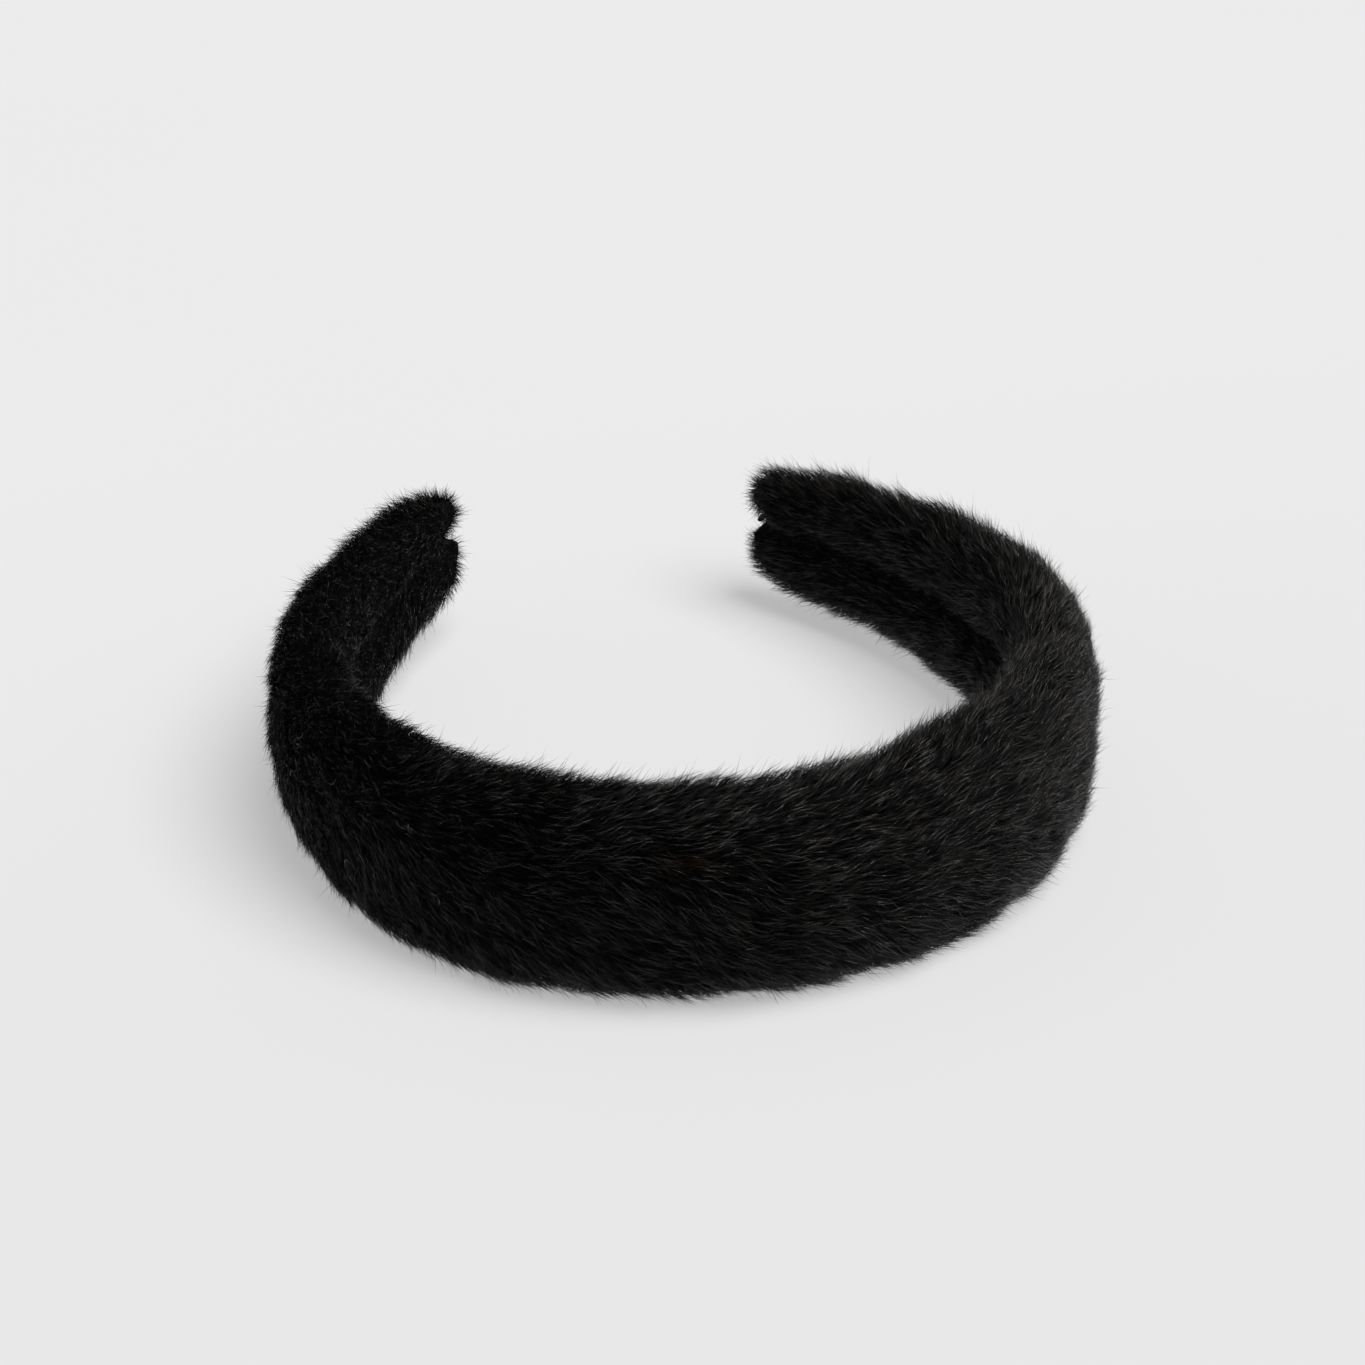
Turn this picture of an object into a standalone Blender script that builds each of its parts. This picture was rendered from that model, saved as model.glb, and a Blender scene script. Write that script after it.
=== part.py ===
"""Padded headband covered in short fur fabric, lying on its edge.

Metres, +Z up. The crown points to -Y, the open side to +Y, and X runs across the two arms.
The springy core flexes all along its length. Here it bends at two hinge lines, one at each
shoulder, so every layer is made as a crown piece and two arm pieces with a hairline gap between.
"""

import math

import bmesh
import bpy
from mathutils import Vector

# Centre line of the band: three tangent arcs from the middle of the crown to a tip.
CROWN_RADIUS = 0.073
CROWN_ARC = 0.029
SIDE_RADIUS = 0.0605
SIDE_ARC = 0.085
TIP_RADIUS = 0.105
TIP_ARC = 0.064
ARCS = ((CROWN_RADIUS, CROWN_ARC), (SIDE_RADIUS, SIDE_ARC), (TIP_RADIUS, TIP_ARC))
HALF_LENGTH = CROWN_ARC + SIDE_ARC + TIP_ARC

# Width of the covered band from edge to edge, and how it narrows and ends.
CROWN_WIDTH = 0.0388
TIP_WIDTH = 0.0248
TAPER_START = 0.072
TAPER_POWER = 1.3
END_ROUNDING = 0.007
END_WIDTH_SHARE = 0.8
END_DEPTH_SHARE = 0.55
REST_FLAT = 0.0004
# Powers on the section's sine and cosine: 1 is an ellipse, and smaller values are squarer.
EDGE_POWER = 0.8
DOME_POWER = 0.9
COVER_INNER_POWER = 0.45
FLAT_POWER = 0.15
STRIP_POWER = 0.35

# Layers. The core's outer face lies on the centre line, with the foam outside it.
CORE_THICKNESS = 0.0018
CORE_EDGE_INSET = 0.0012
CORE_END_SHARE = 0.35
FOAM_CROWN_THICKNESS = 0.009
FOAM_TIP_THICKNESS = 0.002
COVER_OUTER_WALL = 0.0036
COVER_INNER_WALL = 0.0035
COVER_EDGE_WALL = 0.0036
COVER_TIP_WALL = 0.006
FIT_GAP = 0.0003
SEAM_GAP = 0.001
SEAM_END_INSET = 0.004

# How far the cover and its hollow reach outwards and inwards from the centre line.
CAVITY_CROWN_DEPTH = FOAM_CROWN_THICKNESS + 2 * FIT_GAP
CAVITY_TIP_DEPTH = FOAM_TIP_THICKNESS + 2 * FIT_GAP
CAVITY_INNER_DEPTH = CORE_THICKNESS + FIT_GAP
INNER_DEPTH = CAVITY_INNER_DEPTH + COVER_INNER_WALL

# Tip folds and stitching.
NOTCH_DEPTH = 0.0034
NOTCH_HEIGHT = 0.0042
TACK_RADIUS = 0.0006
TACK_LENGTH = 0.0030
THREAD_RADIUS = 0.0002
STITCH_LENGTH = 0.005
STITCH_RISE = 0.0006
THREAD_DEPTH = CAVITY_INNER_DEPTH + COVER_INNER_WALL / 2
THREAD_POINTS_PER_STITCH = 6

# Hinge lines that stand in for the flex of the core.
HINGE_AT = 0.050

# Fineness of the solids.
STATION_STEP = 0.005
RIM_POINTS = 28
END_STATIONS = 5

UP = Vector((0.0, 0.0, 1.0))
SIDES = (("left", -1.0), ("right", 1.0))


def clear_scene():
    for old in list(bpy.data.objects):
        bpy.data.objects.remove(old, do_unlink=True)


def material(name, colour, roughness):
    """A plain Principled material."""
    made = bpy.data.materials.new(name)
    made.use_nodes = True
    shader = made.node_tree.nodes["Principled BSDF"]
    shader.inputs["Base Color"].default_value = (*colour, 1.0)
    shader.inputs["Roughness"].default_value = roughness
    shader.inputs["Metallic"].default_value = 0.0
    return made


def centre_line(distance):
    """Point on the centre line and its outward normal. Negative distances run along the left arm."""
    side = math.copysign(1.0, distance)
    left = abs(distance)
    along = away = turned = 0.0
    for radius, length in ARCS:
        step = min(left, length)
        after = turned + step / radius
        along += radius * (math.sin(after) - math.sin(turned))
        away += radius * (math.cos(turned) - math.cos(after))
        turned = after
        left -= step
    along += left * math.cos(turned)
    away += left * math.sin(turned)
    return Vector((side * along, away, 0.0)), Vector((side * math.sin(turned), -math.cos(turned), 0.0))


def place(distance, depth, height):
    """The point this far along the band, outwards from its centre line and above its middle plane."""
    point, outward = centre_line(distance)
    return point + outward * depth + UP * height


def mix(first, last, share):
    return first + (last - first) * share


def power_wave(value, power):
    """A sine or cosine made fuller or flatter, with its sign kept."""
    return math.copysign(abs(value) ** power, value)


def end_share(distance):
    """1 along the band, falling to 0 on a quarter circle over the last stretch before a tip."""
    from_tip = max(HALF_LENGTH - abs(distance), 0.0)
    if from_tip >= END_ROUNDING:
        return 1.0
    return math.sqrt(1.0 - (1.0 - from_tip / END_ROUNDING) ** 2)


def cavity_size(distance):
    """Half width, outer depth and inner depth of the hollow that the core and the foam fill."""
    taper = min(max((abs(distance) - TAPER_START) / (HALF_LENGTH - TAPER_START), 0.0), 1.0)
    half_width = mix(CROWN_WIDTH, TIP_WIDTH, taper**TAPER_POWER) / 2 - COVER_EDGE_WALL
    outer = mix(CAVITY_CROWN_DEPTH, CAVITY_TIP_DEPTH, min(abs(distance) / HALF_LENGTH, 1.0))
    return half_width, outer, CAVITY_INNER_DEPTH


def domed_outline(half_width, outer, inner, inner_power=COVER_INNER_POWER):
    """Closed outline of a padded band: a round dome outside and a flatter face inside."""
    outline = []
    for index in range(RIM_POINTS):
        angle = 2 * math.pi * index / RIM_POINTS
        height = half_width * power_wave(math.sin(angle), EDGE_POWER)
        if math.cos(angle) > 0:
            depth = outer * power_wave(math.cos(angle), DOME_POWER)
        else:
            depth = inner * power_wave(math.cos(angle), inner_power)
        outline.append((depth, height))
    return outline


def cover_outline(distance):
    """Outside of the fur, pressed flat along the edge that it rests on."""
    cavity_half, cavity_outer, _ = cavity_size(distance)
    half_width = (cavity_half + COVER_EDGE_WALL) * mix(END_WIDTH_SHARE, 1.0, end_share(distance))
    depth_share = mix(END_DEPTH_SHARE, 1.0, end_share(distance))
    outer = (cavity_outer + COVER_OUTER_WALL) * depth_share
    outline = domed_outline(half_width, outer, INNER_DEPTH * depth_share)
    return [(depth, max(height, REST_FLAT - half_width)) for depth, height in outline]


def cavity_outline(distance):
    return domed_outline(*cavity_size(distance), inner_power=FLAT_POWER)


def foam_outline(distance):
    """A dome with a flat face that lies against the core."""
    half_width, outer, _ = cavity_size(distance)
    dome = domed_outline(half_width - 2 * FIT_GAP, outer - FIT_GAP, 0.0)
    return [(max(depth, FIT_GAP), height) for depth, height in dome]


def core_outline(distance):
    """A flat strip with rounded edges, narrowing to a round end at each tip."""
    half_width, _, _ = cavity_size(distance)
    strip_half = half_width - CORE_EDGE_INSET
    from_end = max(HALF_LENGTH - COVER_TIP_WALL - FIT_GAP - abs(distance), 0.0)
    if from_end < strip_half:
        strip_half *= mix(CORE_END_SHARE, 1.0, math.sqrt(1.0 - (1.0 - from_end / strip_half) ** 2))
    outline = []
    for index in range(RIM_POINTS):
        angle = 2 * math.pi * index / RIM_POINTS
        depth = CORE_THICKNESS / 2 * (power_wave(math.cos(angle), STRIP_POWER) - 1.0)
        outline.append((depth, strip_half * power_wave(math.sin(angle), STRIP_POWER)))
    return outline


def seam_outline(_distance):
    """The slot between the two turned-in edges of the cover, run past both sides of its wall."""
    half = SEAM_GAP / 2
    outside = -INNER_DEPTH - COVER_INNER_WALL
    inside = -CORE_THICKNESS
    return [(outside, -half), (outside, half), (inside, half), (inside, -half)]


def stations(start, end):
    """Distances from start to end, closer together where a tip is rounded."""
    side = math.copysign(1.0, end)
    round_start = HALF_LENGTH - END_ROUNDING
    straight_end = side * min(abs(end), round_start)
    count = max(1, round(abs(straight_end - start) / STATION_STEP))
    found = [mix(start, straight_end, index / count) for index in range(count + 1)]
    rounded = abs(end) - round_start
    if rounded > 0:
        for index in range(1, END_STATIONS + 1):
            found.append(side * (round_start + rounded * math.sin(math.pi / 2 * index / END_STATIONS)))
    return found


def swept_solid(name, outline_at, distances, look):
    """A closed solid whose cross-section at each distance is that distance's outline."""
    shape = bmesh.new()
    rings = []
    for distance in distances:
        rings.append([shape.verts.new(place(distance, *point)) for point in outline_at(distance)])
    for near, far in zip(rings, rings[1:]):
        for index in range(len(near)):
            shape.faces.new((near[index - 1], near[index], far[index], far[index - 1]))
    shape.faces.new(rings[0])
    shape.faces.new(rings[-1])
    bmesh.ops.recalc_face_normals(shape, faces=shape.faces)
    mesh = bpy.data.meshes.new(name)
    shape.to_mesh(mesh)
    shape.free()
    mesh.materials.append(look)
    for polygon in mesh.polygons:
        polygon.use_smooth = len(polygon.vertices) == 4
    made = bpy.data.objects.new(name, mesh)
    bpy.context.collection.objects.link(made)
    return made


def as_cutter(made):
    made.hide_render = True
    made.display_type = "WIRE"
    return made


def notch_cutter(name, side, look):
    """A wedge that parts the upper and the lower fold of the cover at a tip."""
    shape = bmesh.new()
    apex = side * (HALF_LENGTH - NOTCH_DEPTH)
    mouth = side * (HALF_LENGTH + NOTCH_DEPTH)
    rings = []
    for depth in (-2 * INNER_DEPTH, 2 * (CAVITY_TIP_DEPTH + COVER_OUTER_WALL)):
        corners = [(apex, 0.0), (mouth, -NOTCH_HEIGHT), (mouth, NOTCH_HEIGHT)]
        rings.append([shape.verts.new(place(distance, depth, height)) for distance, height in corners])
    for index in range(3):
        shape.faces.new((rings[0][index - 1], rings[0][index], rings[1][index], rings[1][index - 1]))
    for ring in rings:
        shape.faces.new(ring)
    bmesh.ops.recalc_face_normals(shape, faces=shape.faces)
    mesh = bpy.data.meshes.new(name)
    shape.to_mesh(mesh)
    shape.free()
    mesh.materials.append(look)
    made = bpy.data.objects.new(name, mesh)
    bpy.context.collection.objects.link(made)
    return as_cutter(made)


def cut(made, cutters):
    for cutter in cutters:
        boolean = made.modifiers.new(cutter.name, "BOOLEAN")
        boolean.operation = "DIFFERENCE"
        boolean.object = cutter
    return made


def seam_thread(name, start, end, look):
    """A thread that rises and dips along the seam, one wave to a stitch."""
    count = round(abs(end - start) / STITCH_LENGTH) * THREAD_POINTS_PER_STITCH
    curve = bpy.data.curves.new(name, "CURVE")
    curve.dimensions = "3D"
    curve.bevel_depth = THREAD_RADIUS
    curve.bevel_resolution = 0
    curve.use_fill_caps = True
    line = curve.splines.new("POLY")
    line.points.add(count)
    for index, point in enumerate(line.points):
        wave = math.cos(2 * math.pi * index / THREAD_POINTS_PER_STITCH)
        spot = place(mix(start, end, index / count), STITCH_RISE * wave - THREAD_DEPTH, 0.0)
        point.co = (*spot, 1.0)
    curve.materials.append(look)
    made = bpy.data.objects.new(name, curve)
    bpy.context.collection.objects.link(made)
    return made


def tip_tack(name, side, look):
    """A small knot of thread that lies in the notch of a tip."""
    shape = bmesh.new()
    bmesh.ops.create_icosphere(shape, subdivisions=3, radius=1.0)
    mesh = bpy.data.meshes.new(name)
    shape.to_mesh(mesh)
    shape.free()
    mesh.materials.append(look)
    for polygon in mesh.polygons:
        polygon.use_smooth = True
    made = bpy.data.objects.new(name, mesh)
    bpy.context.collection.objects.link(made)
    # The knot clears both flanks of the wedge by the fit gap.
    flank = math.atan2(NOTCH_HEIGHT, 2 * NOTCH_DEPTH)
    from_apex = (TACK_RADIUS + FIT_GAP) / math.sin(flank)
    spot = side * (HALF_LENGTH - NOTCH_DEPTH + from_apex)
    _, outward = centre_line(spot)
    made.location = place(spot, 0.0, 0.0)
    made.rotation_euler = (0.0, 0.0, math.atan2(outward.y, outward.x))
    made.scale = (TACK_LENGTH / 2, TACK_RADIUS, TACK_RADIUS)
    return made


def build():
    clear_scene()
    fur = material("black_fur", (0.012, 0.011, 0.011), 0.95)
    foam = material("charcoal_foam", (0.10, 0.10, 0.105), 0.9)
    plastic = material("black_plastic", (0.02, 0.02, 0.02), 0.45)
    thread = material("black_thread", (0.018, 0.017, 0.017), 0.8)
    cutter_look = material("cutter", (0.8, 0.2, 0.2), 0.5)

    cavity_end = HALF_LENGTH - COVER_TIP_WALL
    seam_end = cavity_end - SEAM_END_INSET
    layer_end = cavity_end - FIT_GAP
    crown_end = HINGE_AT - FIT_GAP / 2
    arm_start = HINGE_AT + FIT_GAP / 2

    cavity = as_cutter(
        swept_solid("cavity", cavity_outline, stations(-cavity_end, cavity_end), cutter_look)
    )
    seam = as_cutter(swept_solid("seam_slot", seam_outline, stations(-seam_end, seam_end), cutter_look))

    layers = (
        ("fur_cover", cover_outline, HALF_LENGTH, fur),
        ("foam_pad", foam_outline, layer_end, foam),
        ("core_strip", core_outline, layer_end, plastic),
    )
    pieces = []
    for layer, outline_at, end, look in layers:
        crown = swept_solid(f"{layer}_crown", outline_at, stations(-crown_end, crown_end), look)
        pieces.append(crown)
        if layer == "fur_cover":
            cut(crown, (cavity, seam))
        for side_name, side in SIDES:
            distances = stations(side * arm_start, side * end)
            arm = swept_solid(f"{layer}_{side_name}_arm", outline_at, distances, look)
            pieces.append(arm)
            if layer == "fur_cover":
                notch = notch_cutter(f"tip_notch_{side_name}", side, cutter_look)
                cut(arm, (cavity, seam, notch))

    pieces.append(seam_thread("seam_thread_crown", -crown_end, crown_end, thread))
    for side_name, side in SIDES:
        start = side * arm_start
        pieces.append(seam_thread(f"seam_thread_{side_name}_arm", start, side * (seam_end - FIT_GAP), thread))
        pieces.append(tip_tack(f"tip_tack_{side_name}", side, thread))

    # Everything hangs on one empty, so the part's base is centred on the world origin.
    covers = [piece for piece in pieces if piece.name.startswith("fur_cover")]
    depths = [vertex.co.y for cover in covers for vertex in cover.data.vertices]
    base = bpy.data.objects.new("headband", None)
    base.location = (0.0, -(min(depths) + max(depths)) / 2, CROWN_WIDTH / 2 - REST_FLAT)
    bpy.context.collection.objects.link(base)
    for made in list(bpy.context.collection.objects):
        if made is not base:
            made.parent = base


build()
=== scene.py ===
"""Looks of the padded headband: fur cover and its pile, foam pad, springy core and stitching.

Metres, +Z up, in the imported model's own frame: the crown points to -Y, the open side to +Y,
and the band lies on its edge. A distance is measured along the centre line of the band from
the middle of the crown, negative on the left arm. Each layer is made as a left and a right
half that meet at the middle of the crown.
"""

import math

import bpy
import numpy as np
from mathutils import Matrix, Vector


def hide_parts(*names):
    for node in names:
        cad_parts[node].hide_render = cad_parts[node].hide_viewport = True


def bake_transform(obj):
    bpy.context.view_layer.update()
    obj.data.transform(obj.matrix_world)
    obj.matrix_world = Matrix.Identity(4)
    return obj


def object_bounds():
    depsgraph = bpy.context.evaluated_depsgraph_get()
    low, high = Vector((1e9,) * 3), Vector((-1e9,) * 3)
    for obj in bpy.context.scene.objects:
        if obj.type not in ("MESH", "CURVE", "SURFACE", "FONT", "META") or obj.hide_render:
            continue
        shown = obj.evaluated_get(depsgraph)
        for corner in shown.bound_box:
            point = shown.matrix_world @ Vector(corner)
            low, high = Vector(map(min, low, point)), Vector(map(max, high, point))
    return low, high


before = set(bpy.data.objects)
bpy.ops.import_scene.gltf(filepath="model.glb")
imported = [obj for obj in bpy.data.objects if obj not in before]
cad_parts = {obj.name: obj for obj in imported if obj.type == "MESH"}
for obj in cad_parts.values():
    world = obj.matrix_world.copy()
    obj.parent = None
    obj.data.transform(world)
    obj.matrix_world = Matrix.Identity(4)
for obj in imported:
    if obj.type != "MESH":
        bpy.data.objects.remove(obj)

cad_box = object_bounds()

# Centre line of the band: three tangent arcs from the middle of the crown to a tip.
CROWN_RADIUS = 0.073
CROWN_ARC = 0.029
SIDE_RADIUS = 0.0605
SIDE_ARC = 0.085
TIP_RADIUS = 0.105
TIP_ARC = 0.064
ARCS = ((CROWN_RADIUS, CROWN_ARC), (SIDE_RADIUS, SIDE_ARC), (TIP_RADIUS, TIP_ARC))
HALF_LENGTH = CROWN_ARC + SIDE_ARC + TIP_ARC

# The covered band from edge to edge, how it narrows, and how it ends.
CROWN_WIDTH = 0.0388
TIP_WIDTH = 0.0216
TAPER_START = 0.072
TAPER_POWER = 1.8
END_ROUNDING = 0.007
END_WIDTH_SHARE = 0.84
END_DEPTH_SHARE = 0.66
# Powers on the section's sine and cosine: 1 is an ellipse, and smaller values are squarer.
EDGE_POWER = 0.8
DOME_POWER = 0.9
COVER_INNER_POWER = 0.45
FLAT_POWER = 0.15
STRIP_POWER = 0.35

# Layers. The core's outer face lies on the centre line, with the foam outside it.
CORE_THICKNESS = 0.0018
CORE_EDGE_INSET = 0.0012
FOAM_CROWN_THICKNESS = 0.009
FOAM_TIP_THICKNESS = 0.002
COVER_OUTER_WALL = 0.0036
COVER_INNER_WALL = 0.0035
COVER_EDGE_WALL = 0.0036
COVER_TIP_WALL = 0.006
FIT_GAP = 0.0003
CAVITY_CROWN_DEPTH = FOAM_CROWN_THICKNESS + 2 * FIT_GAP
CAVITY_TIP_DEPTH = FOAM_TIP_THICKNESS + 2 * FIT_GAP
CAVITY_INNER_DEPTH = CORE_THICKNESS + FIT_GAP
INNER_DEPTH = CAVITY_INNER_DEPTH + COVER_INNER_WALL
CAVITY_END = HALF_LENGTH - COVER_TIP_WALL
# The arms aren't quite level: the left tip rides a little high and the right arm a little low.
LEFT_TIP_LIFT = 0.0022
LEFT_LIFT_LENGTH = 0.036
RIGHT_TIP_DROP = 0.0007
RIGHT_DROP_LENGTH = 0.100

# The cover's wall is the pelt, a knitted backing, and the pile that stands on it.
OUTER_PILE = 0.0014
EDGE_PILE = 0.0009
INNER_PILE = 0.0010
TIP_PILE = 0.0020

# The crown's front and the band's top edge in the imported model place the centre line.
CROWN_FRONT = cad_box[0][1] + CAVITY_CROWN_DEPTH + COVER_OUTER_WALL
MID_HEIGHT = cad_box[1][2] - CROWN_WIDTH / 2
FLOOR_HEIGHT = cad_box[0][2]

RNG = np.random.default_rng(20)


# ---------------------------------------------------------------- shape of the band

def mix(first, last, share):
    return first + (last - first) * share


def smooth_step(low, high, value):
    share = np.clip((value - low) / (high - low), 0, 1)
    return share * share * (3 - 2 * share)


def power_wave(value, power):
    return np.sign(value) * np.abs(value) ** power


def unit(vectors):
    return vectors / np.linalg.norm(vectors, axis=-1, keepdims=True)


def centre_line(distance):
    """Points of the centre line, the outward directions there and the directions along it."""
    distance = np.asarray(distance, float)
    side = np.where(distance < 0, -1.0, 1.0)
    rest = np.abs(distance)
    across = np.zeros_like(rest)
    away = np.zeros_like(rest)
    turned = np.zeros_like(rest)
    for radius, arc in ARCS:
        last = arc is ARCS[-1][1]
        length = rest if last else np.minimum(rest, arc)
        after = turned + length / radius
        across += radius * (np.sin(after) - np.sin(turned))
        away += radius * (np.cos(turned) - np.cos(after))
        turned = after
        rest = rest - length
    flat = np.zeros_like(rest)
    lift = LEFT_TIP_LIFT * smooth_step(HALF_LENGTH - LEFT_LIFT_LENGTH, HALF_LENGTH, -distance)
    drop = smooth_step(HALF_LENGTH - RIGHT_DROP_LENGTH, HALF_LENGTH, distance)
    lift = lift - RIGHT_TIP_DROP * drop
    point = np.stack([side * across, CROWN_FRONT + away, MID_HEIGHT + lift], -1)
    outward = np.stack([side * np.sin(turned), -np.cos(turned), flat], -1)
    along = np.stack([np.cos(turned), side * np.sin(turned), flat], -1)
    return point, outward, along


def cavity_size(distance):
    """Half the width of the cover's hollow, and how far it reaches out from the centre line."""
    rest = np.abs(distance)
    taper = np.clip((rest - TAPER_START) / (HALF_LENGTH - TAPER_START), 0, 1) ** TAPER_POWER
    half_width = mix(CROWN_WIDTH, TIP_WIDTH, taper) / 2 - COVER_EDGE_WALL
    return half_width, mix(CAVITY_CROWN_DEPTH, CAVITY_TIP_DEPTH, rest / HALF_LENGTH)


def domed(angle, half_width, outer, inner, inner_power):
    """Depth and height of a section that is domed on its outer side and flatter inside."""
    sine = np.sin(angle)
    cosine = np.cos(angle)
    height = half_width * power_wave(sine, EDGE_POWER)
    outside = outer * np.abs(cosine) ** DOME_POWER
    inside = -inner * np.abs(cosine) ** inner_power
    return np.where(cosine > 0, outside, inside), height


def pelt_section(distance, angle, end):
    """Depth and height of the pelt, which is the cover less its pile, rounded towards its end."""
    half_width, outer = cavity_size(distance)
    near_end = np.clip(1 - (end - np.abs(distance)) / END_ROUNDING, 0, 1)
    share = np.sqrt(1 - near_end * near_end)
    width_share = mix(END_WIDTH_SHARE, 1, share)
    depth_share = mix(END_DEPTH_SHARE, 1, share)
    return domed(
        angle,
        (half_width + COVER_EDGE_WALL - EDGE_PILE) * width_share,
        (outer + COVER_OUTER_WALL - OUTER_PILE) * depth_share,
        (INNER_DEPTH - INNER_PILE) * depth_share,
        COVER_INNER_POWER,
    )


def cavity_section(distance, angle):
    half_width, outer = cavity_size(distance)
    return domed(angle, half_width, outer, CAVITY_INNER_DEPTH, FLAT_POWER)


def foam_section(distance, angle):
    half_width, outer = cavity_size(distance)
    depth, height = domed(
        angle, half_width - FIT_GAP, outer - FIT_GAP, CAVITY_INNER_DEPTH, FLAT_POWER
    )
    return np.maximum(depth, FIT_GAP), height


def core_section(distance, angle):
    half_width, _ = cavity_size(distance)
    depth = CORE_THICKNESS / 2 * (power_wave(np.cos(angle), STRIP_POWER) - 1)
    return depth, (half_width - CORE_EDGE_INSET) * power_wave(np.sin(angle), STRIP_POWER)


def swept(section, distance, around, *more):
    """Rings of a section placed along the band, as rings x points x 3."""
    angle = np.arange(around) * 2 * math.pi / around
    depth, height = section(distance[:, None], angle[None, :], *more)
    depth, height = np.broadcast_arrays(depth, height)
    point, outward, _ = centre_line(distance)
    rings = point[:, None, :] + outward[:, None, :] * depth[..., None]
    rings[..., 2] += height
    return rings


WAVE_COUNT = 18
WAVE_SPREAD = (0.75, 1.5)


def waves(points, wavelength, seed):
    """Smooth noise of about unit size, from waves that run in seeded directions."""
    made = np.random.default_rng(seed)
    direction = unit(made.normal(size=(WAVE_COUNT, 3)))
    pitch = 2 * math.pi / (wavelength * made.uniform(*WAVE_SPREAD, WAVE_COUNT))
    phase = made.uniform(0, 2 * math.pi, WAVE_COUNT)
    total = np.zeros(points.shape[:-1])
    for axis, turn, start in zip(direction, pitch, phase, strict=True):
        total += np.cos(points @ axis * turn + start)
    return total * math.sqrt(2 / WAVE_COUNT)


# ---------------------------------------------------------------- meshes

def new_piece(name, points, faces, look):
    """An object made from points and from faces of any number of sides, smooth all over."""
    mesh = bpy.data.meshes.new(name)
    mesh.from_pydata([tuple(point) for point in points], [], faces)
    mesh.materials.append(look)
    mesh.shade_smooth()
    mesh.update()
    piece = bpy.data.objects.new(name, mesh)
    bpy.context.scene.collection.objects.link(piece)
    return piece


def ring_quads(low, high, around):
    """Quads between two rings of points, given the number of each ring's first point."""
    quads = []
    for step in range(around):
        following = (step + 1) % around
        quads.append((low + step, low + following, high + following, high + step))
    return quads


def capped_tube_faces(rings, around):
    """Quads between rings of points, and one face over each open end."""
    faces = []
    for ring in range(rings - 1):
        faces += ring_quads(ring * around, (ring + 1) * around, around)
    faces.append(tuple(range(around))[::-1])
    faces.append(tuple((rings - 1) * around + step for step in range(around)))
    return faces


def solid_of_rings(name, rings, look):
    """A closed solid swept through rings of points, an array of rings x points x 3."""
    count, around, _ = rings.shape
    piece = new_piece(name, rings.reshape(-1, 3), capped_tube_faces(count, around), look)
    face_outwards(piece)
    return piece


def select_only(piece):
    bpy.ops.object.select_all(action="DESELECT")
    piece.select_set(True)
    bpy.context.view_layer.objects.active = piece


def face_outwards(piece):
    select_only(piece)
    bpy.ops.object.mode_set(mode="EDIT")
    bpy.ops.mesh.select_all(action="SELECT")
    bpy.ops.mesh.normals_make_consistent(inside=False)
    bpy.ops.object.mode_set(mode="OBJECT")


# ---------------------------------------------------------------- materials

def new_material(name):
    """A node material, its nodes, its links and its Principled shader."""
    look = bpy.data.materials.new(name)
    look.use_nodes = True
    nodes = look.node_tree.nodes
    return look, nodes, look.node_tree.links, nodes["Principled BSDF"]


MOTTLE_MASKS = (("Patches", "Patch Scale", 3), ("Speckle", "Speckle Scale", 5))
MOTTLE_ROUGHNESS = 0.6


def mottle_group():
    """Soft patches and fine speckle on the object's own coordinates, as two masks."""
    group = bpy.data.node_groups.new("mottle", "ShaderNodeTree")
    face = group.interface
    for mask, scale, _ in MOTTLE_MASKS:
        face.new_socket(name=scale, in_out="INPUT", socket_type="NodeSocketFloat")
        face.new_socket(name=mask, in_out="OUTPUT", socket_type="NodeSocketFloat")
    nodes = group.nodes
    links = group.links
    given = nodes.new("NodeGroupInput")
    result = nodes.new("NodeGroupOutput")
    place = nodes.new("ShaderNodeTexCoord")
    for mask, scale, detail in MOTTLE_MASKS:
        noise = nodes.new("ShaderNodeTexNoise")
        noise.inputs["Detail"].default_value = detail
        noise.inputs["Roughness"].default_value = MOTTLE_ROUGHNESS
        links.new(place.outputs["Object"], noise.inputs["Vector"])
        links.new(given.outputs[scale], noise.inputs["Scale"])
        links.new(noise.outputs["Fac"], result.inputs[mask])
    return group


def mottle(nodes, group, patch_scale, speckle_scale):
    used = nodes.new("ShaderNodeGroup")
    used.node_tree = group
    used.inputs["Patch Scale"].default_value = patch_scale
    used.inputs["Speckle Scale"].default_value = speckle_scale
    return used


def colour_ramp(nodes, links, value, stops):
    ramp = nodes.new("ShaderNodeValToRGB")
    elements = ramp.color_ramp.elements
    while len(elements) < len(stops):
        elements.new(1.0)
    for element, (at, colour) in zip(elements, stops, strict=True):
        element.position = at
        element.color = (*colour, 1)
    links.new(value, ramp.inputs["Fac"])
    return ramp.outputs["Color"]


def mixed(nodes, links, blend, share, first, second):
    """Two colours mixed; each of share, first and second is a socket or a constant."""
    node = nodes.new("ShaderNodeMix")
    node.data_type = "RGBA"
    node.blend_type = blend
    node.clamp_factor = True
    # The colour sockets come after those of the node's other data types.
    sockets = (node.inputs[0], node.inputs[6], node.inputs[7])
    for socket, value in zip(sockets, (share, first, second), strict=True):
        if isinstance(value, bpy.types.NodeSocket):
            links.new(value, socket)
        elif isinstance(value, tuple):
            socket.default_value = (*value, 1)
        else:
            socket.default_value = value
    return node.outputs[2]


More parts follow.
